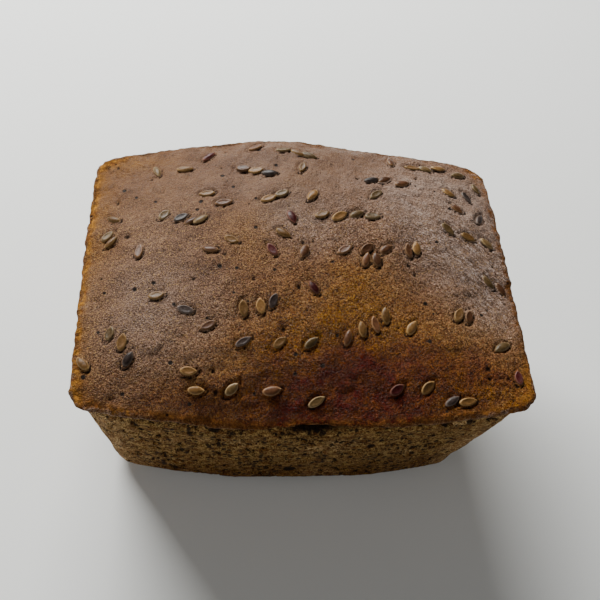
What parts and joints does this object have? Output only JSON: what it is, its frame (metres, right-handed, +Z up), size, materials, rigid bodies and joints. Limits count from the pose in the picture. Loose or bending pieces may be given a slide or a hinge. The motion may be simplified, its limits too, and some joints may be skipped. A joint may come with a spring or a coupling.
{
  "type": "buckwheat sourdough loaf",
  "caption": "Small buckwheat sourdough loaf from a tapered rectangular tin: low domed brown crust, crumbly rim, linseed baked into the top, one flat base to rest on.",
  "frame": {"origin": "middle of the flat base that the loaf rests on", "axes": "+X along the loaf's long sides, +Y across it to its higher back rim, +Z up"},
  "size_m": [0.1285, 0.0991, 0.0739],
  "materials": {
    "crust": "baked crust, satin on top and dull on the walls",
    "linseed": "toasted linseed hull, semi-gloss"
  },
  "bodies": {
    "root": {"loaf": "crust"}
  },
  "joints": []
}
